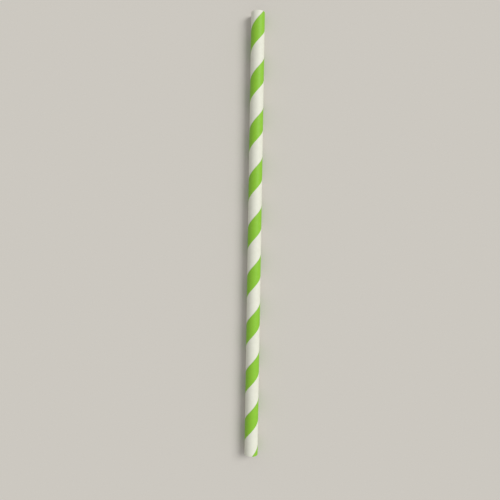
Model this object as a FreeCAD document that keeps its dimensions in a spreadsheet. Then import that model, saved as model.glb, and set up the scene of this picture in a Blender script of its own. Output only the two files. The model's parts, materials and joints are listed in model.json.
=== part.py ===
import FreeCAD, Part
import os
import Sketcher

# Paper drinking straw: one tube, wound from three strips of paper and glued into a single wall.
# Every strip runs round the tube as a right-hand helix, and its two edges meet in a butt seam.
# The outer strip's seam shows on the outside and the inner strip's seam shows in the bore, each
# as a fine open line as deep as its strip. Both ends are cut square, with finely bevelled rims.
# The straw is drawn with its axis on Z and its top line on the +X side, and then laid down: its
# axis runs along Y at the height of its own radius, its top line is uppermost, and the origin is
# on the surface that it lies on, under the middle of the straw.

NODE = "straw_tube"

# Driving dimensions in millimetres and degrees: alias, value, meaning.
SIZES = [
    ("tube_length", 197.0, "length from cut end to cut end"),
    ("outer_diameter", 6.0, "outside of the wound wall"),
    ("outer_strip", 0.10, "thickness of the printed outer strip"),
    ("middle_strip", 0.14, "thickness of the middle strip, hidden in the wall"),
    ("inner_strip", 0.14, "thickness of the inner strip, round the bore"),
    ("winding_lead", 21.6, "travel along the straw in one turn of a strip"),
    ("outer_seam_gap", 0.12, "open width of the outer seam, square to its run"),
    ("inner_seam_gap", 0.25, "open width of the inner seam, square to its run"),
    ("seam_from_end", 3.0, "from the +Y end to the outer seam's first crossing of the top line"),
    ("seam_stagger", 120.0, "angle by which the inner seam lags behind the outer one"),
    ("rim_bevel", 0.04, "bevel of the four rims that the knife left"),
]
RUN_OUT = 1.0  # how far a seam cutter starts beyond the end of the tube, at least
PROUD = 0.2  # how far a seam cutter stands clear of the surface that it opens
SPARE_TURNS = 2  # turns that carry a cutter from the seam's first crossing past the +Y end
FACE_TURNS = 0.5  # turns of a seam to each of its faces
START_ANGLE = 22.5  # where a cutter starts, round from the top line

OUTER_RADIUS = "(sizes.outer_diameter / 2)"
WALL = "(sizes.outer_strip + sizes.middle_strip + sizes.inner_strip)"
BORE_RADIUS = f"({OUTER_RADIUS} - {WALL})"
HALF_LENGTH = "(sizes.tube_length / 2)"

AXIS = FreeCAD.Vector(0, 0, 1)
ACROSS = FreeCAD.Vector(1, 0, 0)
# Turns the drawn Z to Y, and the drawn X, where the top line is, to Z.
LAID_DOWN = FreeCAD.Rotation(FreeCAD.Vector(0, 0, 1), FreeCAD.Vector(1, 0, 0), FreeCAD.Vector(0, 1, 0))


def make_sheet(doc):
    """The spreadsheet of driving dimensions, one alias to a row."""
    sheet = doc.addObject("Spreadsheet::Sheet", "sizes")
    for row, (alias, value, meaning) in enumerate(SIZES, start=1):
        sheet.set(f"A{row}", meaning)
        sheet.set(f"B{row}", str(value))
        sheet.setAlias(f"B{row}", alias)
    doc.recompute()
    return sheet


def add_circle(sketch, name, diameter):
    """A circle round the sketch's origin, its diameter tied to an expression."""
    circle = sketch.addGeometry(Part.Circle(FreeCAD.Vector(0, 0, 0), AXIS, 1.0))
    sketch.addConstraint(Sketcher.Constraint("Coincident", circle, 3, -1, 1))
    index = sketch.addConstraint(Sketcher.Constraint("Diameter", circle, 2.0))
    sketch.renameConstraint(index, name)
    sketch.setExpression(f"Constraints.{name}", diameter)


def make_wall(doc):
    """The plain tube: a ring, extended both ways from the middle, with its four rims bevelled."""
    body = doc.addObject("PartDesign::Body", "wall")
    plane = next(part for part in body.Origin.OriginFeatures if part.Role == "XY_Plane")
    ring = body.newObject("Sketcher::SketchObject", "ring")
    ring.AttachmentSupport = [(plane, "")]
    ring.MapMode = "FlatFace"
    add_circle(ring, "outside", "sizes.outer_diameter")
    add_circle(ring, "bore", f"2 * {BORE_RADIUS}")

    tube = body.newObject("PartDesign::Pad", "tube")
    tube.Profile = ring
    tube.SideType = "Symmetric"
    tube.setExpression("Length", "sizes.tube_length")
    doc.recompute()

    rims = [
        f"Edge{number}"
        for number, edge in enumerate(tube.Shape.Edges, start=1)
        if isinstance(edge.Curve, Part.Circle)
    ]
    bevel = body.newObject("PartDesign::Chamfer", "bevelled_rims")
    bevel.Base = (tube, rims)
    bevel.setExpression("Size", "sizes.rim_bevel")
    doc.recompute()
    return body


def make_cutter(doc, name, gap, lowest, highest, lag):
    """What opens one strip's butt seam: a rectangle between two radii, swept along a helix.

    The helix passes the top line where the seam first crosses it from the +Y end, less the lag,
    and starts whole turns before that, beyond the other end of the tube.
    """
    first = f"({HALF_LENGTH} - sizes.seam_from_end - {lag} + sizes.winding_lead * {START_ANGLE} / 360)"
    turns_back = f"ceil(({first} + {HALF_LENGTH} + {RUN_OUT}) / sizes.winding_lead)"
    path = doc.addObject("Part::Helix", f"{name}_path")
    path.SegmentLength = FACE_TURNS
    path.Pitch = doc.sizes.winding_lead  # before the height grows, or it would be a thousand turns
    path.setExpression("Pitch", "sizes.winding_lead")
    path.setExpression("Height", f"({turns_back} + {SPARE_TURNS}) * sizes.winding_lead")
    path.setExpression("Radius", lowest)

    # The gap is square to the seam's run; along the axis it is wider by the sine of the angle
    # between the seam and the axis, which follows from one turn's lead and circumference.
    run_angle = f"atan(2 * pi * {OUTER_RADIUS} / sizes.winding_lead)"
    axial_gap = f"(sizes.{gap} / sin({run_angle}))"
    section = doc.addObject("Part::Plane", f"{name}_section")
    section.Placement = FreeCAD.Placement(FreeCAD.Vector(), FreeCAD.Rotation(ACROSS, 90))
    section.setExpression("Length", f"{highest} - {lowest}")
    section.setExpression("Width", axial_gap)
    section.setExpression("Placement.Base.x", lowest)
    section.setExpression("Placement.Base.z", f"-{axial_gap} / 2")

    cutter = doc.addObject("Part::Sweep", f"{name}_cutter")
    cutter.Sections = [section]
    cutter.Spine = (path, [])
    cutter.Solid = True
    cutter.Frenet = True
    cutter.Placement = FreeCAD.Placement(FreeCAD.Vector(), FreeCAD.Rotation(AXIS, START_ANGLE))
    cutter.setExpression("Placement.Base.z", f"{first} - {turns_back} * sizes.winding_lead")
    doc.recompute()
    return cutter


def cut(doc, name, base, tool):
    """The base less the tool."""
    result = doc.addObject("Part::Cut", name)
    result.Base = base
    result.Tool = tool
    result.Refine = False  # the seams keep their half-turn faces, which cut and mesh cleanly
    doc.recompute()
    return result


def make_straw(doc):
    """The whole straw, laid down and lifted by its radius so that it rests on the surface."""
    outer_cutter = make_cutter(
        doc, "outer_seam", "outer_seam_gap",
        f"({OUTER_RADIUS} - sizes.outer_strip)", f"({OUTER_RADIUS} + {PROUD})", "0",
    )
    inner_cutter = make_cutter(
        doc, "inner_seam", "inner_seam_gap",
        f"({BORE_RADIUS} - {PROUD})", f"({BORE_RADIUS} + sizes.inner_strip)",
        "sizes.winding_lead * sizes.seam_stagger / 360",
    )
    outside_done = cut(doc, "outer_seam", make_wall(doc), outer_cutter)
    straw = cut(doc, NODE, outside_done, inner_cutter)
    straw.Label = NODE
    straw.Placement = FreeCAD.Placement(FreeCAD.Vector(), LAID_DOWN)
    straw.setExpression("Placement.Base.z", OUTER_RADIUS)
    doc.recompute()
    return straw


def check(doc, straw):
    """Stops if any object of the document failed, or if the straw isn't one valid solid."""
    for item in doc.Objects:
        if {"Invalid", "Error"} & set(item.State):
            raise RuntimeError(f"{item.Name} failed: {item.State}")
    shape = straw.Shape
    if shape.isNull() or not shape.isValid() or len(shape.Solids) != 1:
        raise RuntimeError(f"{straw.Label} isn't one valid solid")


def main():
    doc = FreeCAD.newDocument("paper_straw")
    make_sheet(doc)
    straw = make_straw(doc)
    check(doc, straw)
    os.makedirs("parts", exist_ok=True)
    straw.Shape.exportStep(f"parts/{straw.Label}.step")
    box = straw.Shape.optimalBoundingBox()
    print(f"{straw.Label}: {box.XLength:.3f} x {box.YLength:.3f} x {box.ZLength:.3f} mm")
    print(f"volume {straw.Shape.Volume:.2f} mm3, {len(straw.Shape.Faces)} faces")


main()
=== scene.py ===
import json
import math

import bmesh
import bpy
from mathutils import Matrix, Vector, noise


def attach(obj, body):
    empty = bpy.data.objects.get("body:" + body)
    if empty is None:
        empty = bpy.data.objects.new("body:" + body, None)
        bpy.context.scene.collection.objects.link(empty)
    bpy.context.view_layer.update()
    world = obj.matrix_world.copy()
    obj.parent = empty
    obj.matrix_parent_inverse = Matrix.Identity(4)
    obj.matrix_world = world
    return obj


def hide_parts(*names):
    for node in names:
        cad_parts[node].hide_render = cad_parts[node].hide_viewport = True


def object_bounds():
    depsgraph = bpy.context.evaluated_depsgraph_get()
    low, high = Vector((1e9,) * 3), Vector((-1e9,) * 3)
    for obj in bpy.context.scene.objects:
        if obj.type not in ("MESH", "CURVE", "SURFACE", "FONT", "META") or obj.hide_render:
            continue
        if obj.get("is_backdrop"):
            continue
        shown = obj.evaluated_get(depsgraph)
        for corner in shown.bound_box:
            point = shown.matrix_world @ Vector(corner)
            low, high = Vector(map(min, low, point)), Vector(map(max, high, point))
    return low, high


# Paper drinking straw, lying along Y on a pale floor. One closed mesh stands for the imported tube.
# Its outside and its bore are helical grids whose columns follow the winding, so the two open
# butt seams, the rounded edges of the strips and the print's edge are all real lines of the mesh.
# Lengths are in metres. The angle round the axis is 0 on top and grows towards +X.

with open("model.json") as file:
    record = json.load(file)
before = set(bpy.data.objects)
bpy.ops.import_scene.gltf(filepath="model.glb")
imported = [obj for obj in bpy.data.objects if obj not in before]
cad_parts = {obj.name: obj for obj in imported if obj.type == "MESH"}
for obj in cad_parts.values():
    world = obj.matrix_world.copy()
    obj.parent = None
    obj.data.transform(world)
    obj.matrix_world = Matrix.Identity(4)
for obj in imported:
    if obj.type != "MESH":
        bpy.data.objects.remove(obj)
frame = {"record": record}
cad_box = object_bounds()

MM = 0.001
TURN = 2 * math.pi

mounts = {mount["name"]: mount["dims"] for mount in frame["record"]["mounts"]}
OUTER_RADIUS = mounts["outside"]["r_mm"] * MM
BORE_RADIUS = mounts["bore"]["r_mm"] * MM
HALF_LENGTH = mounts["outside"]["length_mm"] * MM / 2
AXIS_HEIGHT = OUTER_RADIUS

# The winding, with the values of the solid.
LEAD = 21.6 * MM
OUTER_STRIP = 0.10 * MM
INNER_STRIP = 0.14 * MM
OUTER_GAP = 0.12 * MM
INNER_GAP = 0.25 * MM
SEAM_FROM_END = 3.0 * MM
INNER_LAG = LEAD / 3
MIDDLE_LAG = 2 * LEAD / 3
RUN_ANGLE = math.atan(TURN * OUTER_RADIUS / LEAD)  # between a strip's run and the axis
SEAM_Y = HALF_LENGTH - SEAM_FROM_END  # the outer seam's crossing of the top line near the +Y end

# The print on the outer strip.
GREEN_SHARE = 0.46  # of the strip's width, along the edge that is nearer the +Y end
PRINT_EDGE = LEAD * (1 - GREEN_SHARE)  # from the seam to the start of the green, along the axis
PRINT_WANDER = 0.03 * MM  # how far the print's edge strays from its line, at most
WANDER_RATE = 1.7  # features of the noise that it strays by, to the radian
WANDER_PLACE = (4.2, 0.5)  # the line in the noise that it reads

# Relief that is too fine for the solid.
RIM = 0.04 * MM  # radius of the cut rims
RIPPLE = 0.010 * MM  # how far the paper sinks below the true cylinder, at most
RIPPLE_LENGTH = 2.6 * MM
FURROW_DEPTH = 0.014 * MM  # over the hidden seam of the middle strip
FURROW_HALF = 0.45 * MM
GLUE_HALF = 0.006 * MM  # half the width of a glue line in the cut ends
GLUE_DEPTH = 0.018 * MM
# The rounded edge of a strip: back from the edge and down from the surface, in millimetres.
EDGE_ROUNDING = ((0.060, 0.0), (0.022, 0.003), (0.006, 0.012), (0.0, 0.034))

# The grids' columns: offsets from the seam along the axis, in millimetres.
WHITE_COLUMNS = ((1.2, 3.0, 5.0), (9.3, 10.8))  # before the furrow and after it
FURROW_COLUMNS = (-1.0, -0.55, 0.0, 0.55, 1.0)  # from the furrow's middle, in halves of its width
GREEN_COLUMNS = (13.0, 14.8, 16.8, 18.8, 20.4)
BORE_COLUMNS = (1.6, 4.0, 6.6, 9.2, 11.8, 14.6, 17.4, 20.0)

OUTSIDE_STEPS = 96  # rows of a grid in one turn
BORE_STEPS = 72
RING_STEPS = 120  # vertices round a glue line
RIM_ANGLES = (30, 60, 90)  # degrees through a rounded rim
SHARP_ANGLE = 38  # degrees; an edge that bends by more is left sharp
ON_CUT = 0.001 * MM  # a vertex this near a cut's plane lies on it
CUT_TOLERANCE = 0.0001 * MM

WHITE, GREEN, UNPRINTED, BORE, CUT = range(5)  # the finishes, as the mesh numbers them


# The straw's mesh


def at(radius, angle, y):
    """The point at that radius and angle round the straw's axis."""
    return Vector((radius * math.sin(angle), y, AXIS_HEIGHT + radius * math.cos(angle)))


def polar(point):
    """(radius, angle from 0 to a turn) of a point round the straw's axis."""
    x, z = point.x, point.z - AXIS_HEIGHT
    return math.hypot(x, z), math.atan2(x, z) % TURN


def strip_edge(gap, depth):
    """(offset, depth) down one edge of a strip, from its flat face to the floor of the seam."""
    half = gap / 2 / math.sin(RUN_ANGLE)
    return [(half + back * MM, down * MM) for back, down in EDGE_ROUNDING] + [(half, depth)]


def flat_columns(offsets, finish):
    """Columns on the plain face of a strip, at offsets in millimetres."""
    return [(offset * MM, 0.0, finish) for offset in offsets]


def outside_profile():
    """Columns of the outside over one lead: (offset along the axis, depth, finish after it)."""
    before_furrow, after_furrow = WHITE_COLUMNS
    furrow = LEAD - MIDDLE_LAG
    edge = strip_edge(OUTER_GAP, OUTER_STRIP)
    printed, bare = edge[:3], edge[3:]
    columns = [(offset, depth, UNPRINTED) for offset, depth in reversed(bare)]
    columns += [(offset, depth, WHITE) for offset, depth in reversed(printed)]
    columns += flat_columns(before_furrow, WHITE)
    for share in FURROW_COLUMNS:
        depth = FURROW_DEPTH * (1 - share * share) ** 2
        columns.append((furrow + share * FURROW_HALF, depth, WHITE))
    columns += flat_columns(after_furrow, WHITE)
    columns.append((PRINT_EDGE, 0.0, GREEN))
    columns += flat_columns(GREEN_COLUMNS, GREEN)
    columns += [(LEAD - offset, depth, GREEN) for offset, depth in printed]
    columns += [(LEAD - offset, depth, UNPRINTED) for offset, depth in bare]
    return columns


def bore_profile():
    """Columns of the bore over one lead, as for the outside."""
    edge = strip_edge(INNER_GAP, INNER_STRIP)
    columns = [(offset, depth, BORE) for offset, depth in reversed(edge)]
    columns += flat_columns(BORE_COLUMNS, BORE)
    columns += [(LEAD - offset, depth, BORE) for offset, depth in edge]
    return columns


def strip_place(angle, offset, y):
    """Millimetres along the strip and across it, for the textures."""
    along = OUTER_RADIUS * angle * math.sin(RUN_ANGLE) + y * math.cos(RUN_ANGLE)
    return along / MM, offset * math.sin(RUN_ANGLE) / MM


def add_skin(bm, uv, radius, inwards, seam_y, steps, columns):
    """One side of the wall as a helical grid that runs out past both ends of the tube.

    inwards is 1 on the outside, where depth leads towards the axis, and -1 in the bore. Column 0
    of each turn is the far side of the seam that the turn before it ends at.
    """
    first = (math.floor((-HALF_LENGTH - seam_y) / LEAD) - 1) * steps
    last = (math.ceil((HALF_LENGTH - seam_y) / LEAD) + 1) * steps
    verts = {}
    for row in range(first, last + 1):
        angle = TURN * row / steps
        for column, (offset, depth, _) in enumerate(columns):
            y = seam_y + LEAD * angle / TURN + offset
            if offset == PRINT_EDGE:
                y += PRINT_WANDER * noise.noise(Vector((angle * WANDER_RATE, *WANDER_PLACE)))
            place = at(radius, angle, y)
            sunk = RIPPLE * (0.5 + 0.5 * noise.noise(place / RIPPLE_LENGTH))
            verts[row, column] = bm.verts.new(at(radius - inwards * (depth + sunk), angle, y))

    def corner(row, column):
        """A corner's vertex, or None past the grid's last row, and its place in the textures."""
        angle = TURN * row / steps
        if column < len(columns):
            offset, key = columns[column][0], (row, column)
        else:  # column 0 of the next turn
            offset, key = LEAD + columns[0][0], (row + steps, 0)
        y = seam_y + LEAD * angle / TURN + offset
        return verts.get(key), strip_place(angle, offset, y)

    for row in range(first, last):
        for column, (_, _, finish) in enumerate(columns):
            corners = [
                corner(row, column), corner(row + 1, column),
                corner(row + 1, column + 1), corner(row, column + 1),
            ]
            if all(vert for vert, _ in corners):
                face = bm.faces.new([vert for vert, _ in corners])
                face.material_index = finish
                for loop, (_, place) in zip(face.loops, corners):
                    loop[uv].uv = place


def end_loops(bm, end):
    """The open loops at one end after the cut, outside then bore, as (vertices, edges) by angle."""
    plane = end * (HALF_LENGTH - RIM)
    ways = {}
    for edge in bm.edges:
        if edge.is_boundary and all(abs(vert.co.y - plane) < ON_CUT for vert in edge.verts):
            for vert in edge.verts:
                ways.setdefault(vert, []).append(edge)
    loops = []
    while ways:
        start = min(ways, key=lambda vert: polar(vert.co)[1])
        loop, edges = [start], []
        edge = ways[start][0]
        while True:
            edges.append(edge)
            vert = edge.other_vert(loop[-1])
            if vert is start:
                break
            loop.append(vert)
            edge = next(way for way in ways[vert] if way is not edge)
        for vert in loop:
            del ways[vert]
        # The first vertex well away from the top line tells which way the loop was followed.
        angles = [polar(vert.co)[1] for vert in loop]
        if next(angle for angle in angles if TURN / 8 < angle < TURN * 7 / 8) > TURN / 2:
            loop[1:] = reversed(loop[1:])
            edges.reverse()
        loops.append((loop, edges))
    loops.sort(key=lambda pair: -polar(pair[0][0].co)[0])
    return loops


def add_rim(bm, uv, loop, edges, end, radius, inwards, strip):
    """Rounds the cut edge of one skin. Returns the loop that bounds the flat of the cut.

    It draws the rim in less and less down the edge of a strip, and not at all on the seam's floor.
    """
    skins = [edge.link_faces[0] for edge in edges]  # taken before the rim's own faces are there
    below = loop
    for angle in RIM_ANGLES:
        bend = math.radians(angle)
        rise = RIM * math.sin(bend)
        shrink = RIM * (1 - math.cos(bend))
        raised = []
        for vert in loop:
            reach, around = polar(vert.co)
            share = max(0.0, 1 - abs(reach - radius) / strip)
            raised.append(bm.verts.new(
                at(reach - inwards * shrink * share, around, end * (HALF_LENGTH - RIM + rise))
            ))
        for index, skin in enumerate(skins):
            after = (index + 1) % len(loop)
            face = bm.faces.new([below[index], below[after], raised[after], raised[index]])
            face.material_index = skin.material_index
            places = {piece.vert: piece[uv].uv.copy() for piece in skin.loops}
            edge_verts = (loop[index], loop[after], loop[after], loop[index])
            for piece, vert in zip(face.loops, edge_verts):
                piece[uv].uv = places[vert]
        below = raised
    return below


def add_ring(bm, radius, y):
    """A circle of vertices round the axis, in order of angle."""
    return [bm.verts.new(at(radius, TURN * step / RING_STEPS, y)) for step in range(RING_STEPS)]


def folded(here, after, there):
    """Whether a triangle between two loops is turned over, back across a seam's opening."""
    return (after.co - here.co).cross(there.co - here.co).y <= 0


def join_loops(bm, uv, outer, inner):
    """Fills the strip between an outer and an inner loop of the cut with triangles.

    Each triangle goes on by one vertex in one of the loops: the vertex that comes first by
    angle, unless only the other loop's gives a triangle that isn't folded.
    """
    loops = (outer, inner)
    angles = []
    for loop in loops:
        angles.append([polar(vert.co)[1] for vert in loop])
        angles[-1].append(angles[-1][0] + TURN)
    done = [0, 0]
    while done[0] < len(outer) or done[1] < len(inner):
        here, there = (loop[count % len(loop)] for loop, count in zip(loops, done))
        steps = []
        for side, loop in enumerate(loops):
            if done[side] < len(loop):
                after = loop[(done[side] + 1) % len(loop)]
                angle = angles[side][done[side] + 1]
                steps.append((folded(here, after, there), angle, side, after))
        _, _, side, after = min(steps, key=lambda step: step[:3])
        done[side] += 1
        face = bm.faces.new([here, after, there])
        face.material_index = CUT
        for piece in face.loops:
            piece[uv].uv = (piece.vert.co.x / MM, piece.vert.co.z / MM)


def close_end(bm, uv, end):
    """Rounds both rims of one end and lays the flat of the cut, with its two glue lines."""
    (outer, outer_edges), (inner, inner_edges) = end_loops(bm, end)
    loops = [add_rim(bm, uv, outer, outer_edges, end, OUTER_RADIUS, 1, OUTER_STRIP)]
    clear = RIPPLE + 2 * GLUE_HALF  # keeps a glue line off the floors of the seams
    middles = (OUTER_RADIUS - OUTER_STRIP - clear, BORE_RADIUS + INNER_STRIP + clear)
    for middle in middles:
        for way in (1, 0, -1):
            depth = 0.0 if way else GLUE_DEPTH
            loops.append(add_ring(bm, middle + way * GLUE_HALF, end * (HALF_LENGTH - depth)))
    loops.append(add_rim(bm, uv, inner, inner_edges, end, BORE_RADIUS, -1, INNER_STRIP))
    for first, second in zip(loops, loops[1:]):
        join_loops(bm, uv, first, second)


def make_straw():
    """The whole straw as one closed mesh."""
    bm = bmesh.new()
    uv = bm.loops.layers.uv.new("strip")
    add_skin(bm, uv, OUTER_RADIUS, 1, SEAM_Y, OUTSIDE_STEPS, outside_profile())
    add_skin(bm, uv, BORE_RADIUS, -1, SEAM_Y - INNER_LAG, BORE_STEPS, bore_profile())
    for end in (1, -1):
        bmesh.ops.bisect_plane(
            bm, geom=bm.verts[:] + bm.edges[:] + bm.faces[:], dist=CUT_TOLERANCE,
            plane_co=(0, end * (HALF_LENGTH - RIM), 0), plane_no=(0, end, 0), clear_outer=True,
        )
    for end in (1, -1):
        close_end(bm, uv, end)
    bmesh.ops.recalc_face_normals(bm, faces=bm.faces)
    if not all(edge.is_manifold for edge in bm.edges):
        raise RuntimeError("the straw's mesh isn't closed")
    mesh = bpy.data.meshes.new("straw_paper")
    bm.to_mesh(mesh)
    bm.free()
    mesh.polygons.foreach_set("use_smooth", [True] * len(mesh.polygons))
    mesh.set_sharp_from_angle(angle=math.radians(SHARP_ANGLE))
    straw = bpy.data.objects.new("straw_paper", mesh)
    bpy.context.collection.objects.link(straw)
    return straw


# The materials

NOISE_LOW, NOISE_HIGH = 0.3, 0.7  # the span that nearly all of a noise texture keeps to
MIX_SHARE, MIX_FIRST, MIX_SECOND, MIX_RESULT = 0, 6, 7, 2  # a mix node's sockets for colours

FIBRE_STRETCH = (0.5, 2.6)  # along the strip and across it
FIBRE_SCALE = 3.2
FIBRE_HEIGHT = 0.0040 * MM
PULP_SIZE = 0.16 * MM
PULP_HEIGHT = 0.0034 * MM
CLOUD_SIZE = 1.7 * MM
DEEP_SHARE = 0.8  # of the deep tone, where the fibres or the clouds are darkest
SMOOTHER, ROUGHER = -0.05, 0.07  # how far the pulp varies the roughness
PAPER_SPECULAR = 0.42
PINHOLE_SIZE = 0.11 * MM
PINHOLE_STOPS = ((0.0, 0.0), (0.70, 0.0), (0.78, 0.45))  # noise, share of the pale tone
PINHOLE_TONE = (0.60, 0.68, 0.42)


class Look:
    """A material's node tree, with short calls for the nodes that the paper needs."""

    def __init__(self, name):
        self.material = bpy.data.materials.new(name)
        self.material.use_nodes = True
        self.nodes = self.material.node_tree.nodes
        self.links = self.material.node_tree.links
        self.shader = self.nodes["Principled BSDF"]

    def node(self, kind, **values):
        """A node with its inputs set: a name with spaces is written with underscores."""
        made = self.nodes.new(kind)
        for name, value in values.items():
            made.inputs[name.replace("_", " ")].default_value = value
        return made

    def link(self, source, target):
        self.links.new(source, target)

    def strip_noise(self, stretch, scale, detail):
        """Noise laid along the strip, with scale times stretch features to the millimetre."""
        place = self.nodes.new("ShaderNodeUVMap")
        place.uv_map = "strip"
        mapping = self.node("ShaderNodeMapping", Scale=(*stretch, 1.0))
        grain = self.node("ShaderNodeTexNoise", Scale=scale, Detail=detail)
        self.link(place.outputs["UV"], mapping.inputs["Vector"])
        self.link(mapping.outputs["Vector"], grain.inputs["Vector"])
        return grain.outputs["Fac"]

    def solid_noise(self, size, detail):
        """Noise through space, with features of about that size in metres."""
        place = self.nodes.new("ShaderNodeTexCoord")
        grain = self.node("ShaderNodeTexNoise", Scale=1 / size, Detail=detail)
        self.link(place.outputs["Object"], grain.inputs["Vector"])
        return grain.outputs["Fac"]

    def ramp(self, source, stops):
        """A ramp of greys through stops of (position, grey)."""
        ramp = self.nodes.new("ShaderNodeValToRGB")
        elements = ramp.color_ramp.elements
        while len(elements) < len(stops):
            elements.new(0.5)
        for element, (position, grey) in zip(elements, stops):
            element.position = position
            element.color = (grey, grey, grey, 1.0)
        self.link(source, ramp.inputs["Fac"])
        return ramp.outputs["Color"]

    def mix(self, share, first, second):
        """Mixes two colours, each a socket or a colour, by a socket with the second's share."""
        mix = self.nodes.new("ShaderNodeMix")
        mix.data_type = "RGBA"
        self.link(share, mix.inputs[MIX_SHARE])
        for number, value in ((MIX_FIRST, first), (MIX_SECOND, second)):
            if isinstance(value, tuple):
                mix.inputs[number].default_value = (*value, 1.0)
            else:
                self.link(value, mix.inputs[number])
        return mix.outputs[MIX_RESULT]

    def range(self, source, low, high):
        """Spreads a noise texture's usual span over low to high."""
        node = self.node(
            "ShaderNodeMapRange",
            From_Min=NOISE_LOW, From_Max=NOISE_HIGH, To_Min=low, To_Max=high,
        )
        self.link(source, node.inputs["Value"])
        return node.outputs["Result"]

    def bump(self, source, height, strength=1.0, onto=None):
        """A bump of that height in metres, over another bump if one is given."""
        bump = self.node("ShaderNodeBump", Distance=height, Strength=strength)
        self.link(source, bump.inputs["Height"])
        if onto:
            self.link(onto, bump.inputs["Normal"])
        return bump.outputs["Normal"]


def paper(name, pale, deep, roughness):
    """Wound paper: fibres that run along the strip, cloudy pulp, and a colour between two tones."""
    look = Look(name)
    fibres = look.strip_noise(FIBRE_STRETCH, FIBRE_SCALE, detail=4.0)
    clouds = look.solid_noise(CLOUD_SIZE, detail=3.0)
    pulp = look.solid_noise(PULP_SIZE, detail=2.0)
    cloudy = look.mix(look.range(clouds, 0.0, DEEP_SHARE), pale, deep)
    streaked = look.mix(look.range(fibres, 0.0, DEEP_SHARE), cloudy, deep)
    look.link(streaked, look.shader.inputs["Base Color"])
    uneven = look.range(pulp, roughness + SMOOTHER, roughness + ROUGHER)
    look.link(uneven, look.shader.inputs["Roughness"])
    furred = look.bump(fibres, FIBRE_HEIGHT)
    both = look.bump(pulp, PULP_HEIGHT, strength=0.7, onto=furred)
    look.link(both, look.shader.inputs["Normal"])
    look.shader.inputs["Specular IOR Level"].default_value = PAPER_SPECULAR
    return look


def printed_green():
    """The green ink: a little glossier than the paper, with pale pinholes where it missed."""
    look = paper(
        "printed_green", pale=(0.264, 0.560, 0.030), deep=(0.224, 0.500, 0.022), roughness=0.56,
    )
    base = look.shader.inputs["Base Color"]
    ink = base.links[0].from_socket
    missed = look.ramp(look.solid_noise(PINHOLE_SIZE, detail=1.0), PINHOLE_STOPS)
    look.link(look.mix(missed, ink, PINHOLE_TONE), base)
    return look.material


def cut_edge():
    """The cut through the wall: open fibre, a little darker where the knife pressed."""
    look = Look("cut_edge")
    fluff = look.solid_noise(0.09 * MM, detail=4.0)
    pressed = look.solid_noise(0.5 * MM, detail=2.0)
    tone = look.mix(look.range(fluff, 0.0, 1.0), (0.74, 0.72, 0.64), (0.60, 0.58, 0.50))
    worn = look.mix(look.range(pressed, 0.0, 0.4), tone, (0.52, 0.50, 0.42))
    look.link(worn, look.shader.inputs["Base Color"])
    look.link(look.bump(fluff, height=0.012 * MM), look.shader.inputs["Normal"])
    look.shader.inputs["Roughness"].default_value = 0.86
    look.shader.inputs["Specular IOR Level"].default_value = 0.25
    return look.material


def straw_materials():
    """The straw's finishes, in the order of their numbers."""
    white = paper(
        "printed_white", pale=(0.788, 0.791, 0.684), deep=(0.704, 0.706, 0.596), roughness=0.60,
    )
    green = printed_green()
    unprinted = paper(
        "unprinted_paper", pale=(0.60, 0.59, 0.51), deep=(0.50, 0.49, 0.41), roughness=0.72,
    )
    bore = paper(
        "bore_paper", pale=(0.745, 0.738, 0.655), deep=(0.665, 0.655, 0.570), roughness=0.70,
    )
    return [white.material, green, unprinted.material, bore.material, cut_edge()]


def floor_material():
    """A plain pale, faintly warm floor with a fine even tooth."""
    look = Look("pale_floor")
    tooth = look.solid_noise(0.7 * MM, detail=4.0)
    tone = look.mix(look.range(tooth, 0.0, 0.35), (0.626, 0.598, 0.548), (0.585, 0.560, 0.512))
    look.link(tone, look.shader.inputs["Base Color"])
    look.link(look.bump(tooth, 0.02 * MM, strength=0.6), look.shader.inputs["Normal"])
    look.shader.inputs["Roughness"].default_value = 0.9
    look.shader.inputs["Specular IOR Level"].default_value = 0.0
    return look.material


# The floor, the camera and the light

FLOOR_SIZE = 6.0

CAMERA_LENS = 37.4  # in millimetres, as the sensor
CAMERA_SENSOR = 36.0
CAMERA_SEES = (0.01, 20.0)  # nearest and farthest
CAMERA_TILT = math.radians(-2.3)  # the +Y end is nearer the camera
CAMERA_ROLL = math.radians(0.9034)
CAMERA_AIM = Vector((-1.911, -5.914, 0.0)) * MM  # where the view's middle meets the floor
CAMERA_DISTANCE = 235.19 * MM

KEY_FROM = Vector((0.60, 0.34, 0.70))  # the direction that the key light comes from
KEY_SPREAD = math.radians(32)  # how wide the lamp looks from the straw
KEY_STRENGTH = 2.1
SKY = (1.0, 1.0, 1.0)  # what lights the straw
SKY_STRENGTH = 0.50
SKY_SEEN = (0.602, 0.576, 0.528)  # the backdrop, of the colour that the lit floor has


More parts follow.
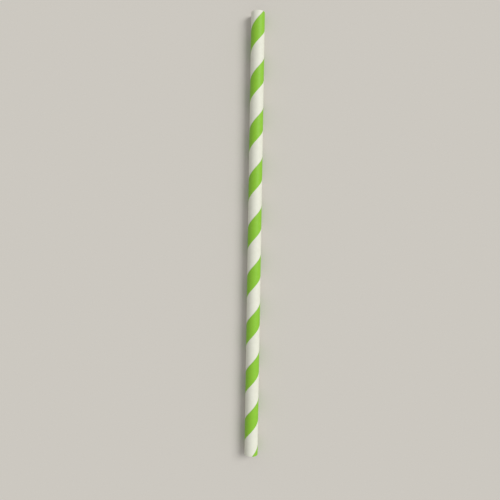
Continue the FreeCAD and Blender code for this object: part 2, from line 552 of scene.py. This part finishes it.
def make_floor():
    """The plain pale floor, one flat sheet."""
    bm = bmesh.new()
    bmesh.ops.create_grid(bm, x_segments=1, y_segments=1, size=FLOOR_SIZE / 2)
    mesh = bpy.data.meshes.new("floor")
    bm.to_mesh(mesh)
    bm.free()
    floor = bpy.data.objects.new("floor", mesh)
    bpy.context.collection.objects.link(floor)
    mesh.materials.append(floor_material())
    floor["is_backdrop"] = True


def make_camera():
    """The photograph's view: almost straight down, the straw's +Y end at the top."""
    data = bpy.data.cameras.new("camera")
    data.lens = CAMERA_LENS
    data.sensor_width = CAMERA_SENSOR
    data.clip_start, data.clip_end = CAMERA_SEES
    camera = bpy.data.objects.new("camera", data)
    bpy.context.collection.objects.link(camera)
    turn = Matrix.Rotation(CAMERA_TILT, 4, "X") @ Matrix.Rotation(CAMERA_ROLL, 4, "Z")
    back = turn @ Vector((0.0, 0.0, CAMERA_DISTANCE))
    camera.matrix_world = Matrix.Translation(CAMERA_AIM + back) @ turn
    bpy.context.scene.camera = camera


def make_light():
    """One wide soft lamp from the right and the far end, and an even sky."""
    lamp = bpy.data.lights.new("key", "SUN")
    lamp.angle = KEY_SPREAD
    lamp.energy = KEY_STRENGTH
    key = bpy.data.objects.new("key", lamp)
    bpy.context.collection.objects.link(key)
    aim = (-KEY_FROM).to_track_quat("-Z", "Y").to_matrix().to_4x4()
    key.matrix_world = Matrix.Translation(KEY_FROM) @ aim

    world = bpy.data.worlds.new("sky")
    bpy.context.scene.world = world
    world.use_nodes = True
    nodes, links = world.node_tree.nodes, world.node_tree.links
    sky = nodes["Background"]
    sky.inputs["Color"].default_value = (*SKY, 1.0)
    sky.inputs["Strength"].default_value = SKY_STRENGTH
    seen = nodes.new("ShaderNodeBackground")
    seen.inputs["Color"].default_value = (*SKY_SEEN, 1.0)
    seen.inputs["Strength"].default_value = 1.0
    # The backdrop is what is seen, straight, reflected or through glass. The sky lights the rest.
    path = nodes.new("ShaderNodeLightPath")
    shown = path.outputs["Is Camera Ray"]
    for ray in ("Is Glossy Ray", "Is Transmission Ray"):
        either = nodes.new("ShaderNodeMath")
        either.operation = "MAXIMUM"
        links.new(shown, either.inputs[0])
        links.new(path.outputs[ray], either.inputs[1])
        shown = either.outputs["Value"]
    mix = nodes.new("ShaderNodeMixShader")
    links.new(shown, mix.inputs["Fac"])
    links.new(sky.outputs["Background"], mix.inputs[1])
    links.new(seen.outputs["Background"], mix.inputs[2])
    links.new(mix.outputs["Shader"], nodes["World Output"].inputs["Surface"])


straw = make_straw()
for material in straw_materials():
    straw.data.materials.append(material)
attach(straw, "root")
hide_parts("straw_tube")

make_floor()
make_camera()
make_light()
bpy.context.scene.view_settings.view_transform = "Standard"

boxes = {"cad": cad_box, "visual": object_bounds()}
{name: [list(corner) for corner in box] for name, box in boxes.items()}
